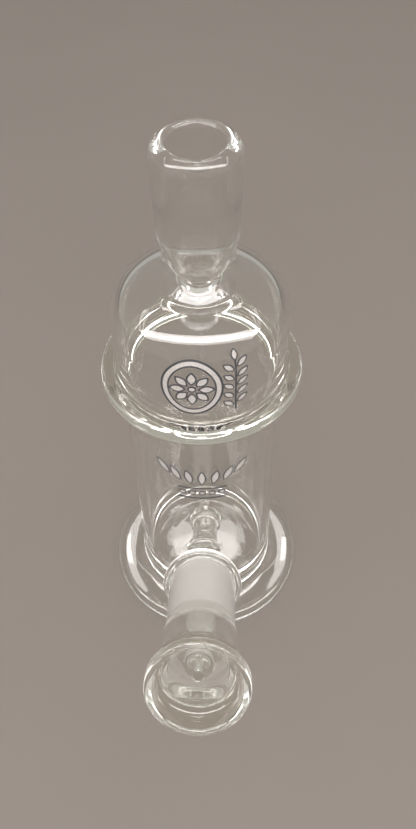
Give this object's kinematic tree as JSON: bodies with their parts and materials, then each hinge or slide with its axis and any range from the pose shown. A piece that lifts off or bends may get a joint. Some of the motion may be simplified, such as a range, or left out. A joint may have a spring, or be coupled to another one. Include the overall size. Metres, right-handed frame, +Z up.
{
  "type": "glass water pipe",
  "caption": "Small upright clear glass water pipe with a round foot, bulged ring, domed top, barrel mouthpiece and a lift-off bowl on a slanted ground-glass joint.",
  "frame": {"origin": "centre of the foot's flat underside, on the body's axis", "axes": "+Z up along the body's axis to the mouthpiece, -Y towards the slanted bowl arm"},
  "size_m": [0.0578, 0.1115, 0.156],
  "materials": {
    "clear_glass": "clear borosilicate glass, fire-polished",
    "thick_glass": "thick clear glass with a faint cream-green tint",
    "ground_glass": "finely ground, frosted white",
    "fired_enamel": "fired-on matt enamel print, off-white with dark grey outlines"
  },
  "bodies": {
    "pipe_body": {"foot_disc": "clear_glass", "body_can": "clear_glass", "maria_ring": "thick_glass", "dome_shell": "clear_glass", "neck_tube": "clear_glass", "mouthpiece": "clear_glass", "medallion_print": "fired_enamel", "sprig_print": "fired_enamel", "leaf_band_print": "fired_enamel", "side_arm": "clear_glass", "male_ground_joint": "ground_glass", "downstem": "clear_glass", "slit_diffuser": "clear_glass"},
    "bowl": {"socket_bead": "clear_glass", "bowl_socket": "ground_glass", "bowl_neck": "clear_glass", "bowl_cup": "thick_glass"}
  },
  "joints": [
    {"name": "bowl_lift", "type": "slide", "parent": "pipe_body", "child": "bowl", "axis": [0, -0.8192, 0.5736], "range_m": [0, 0.06]}
  ]
}
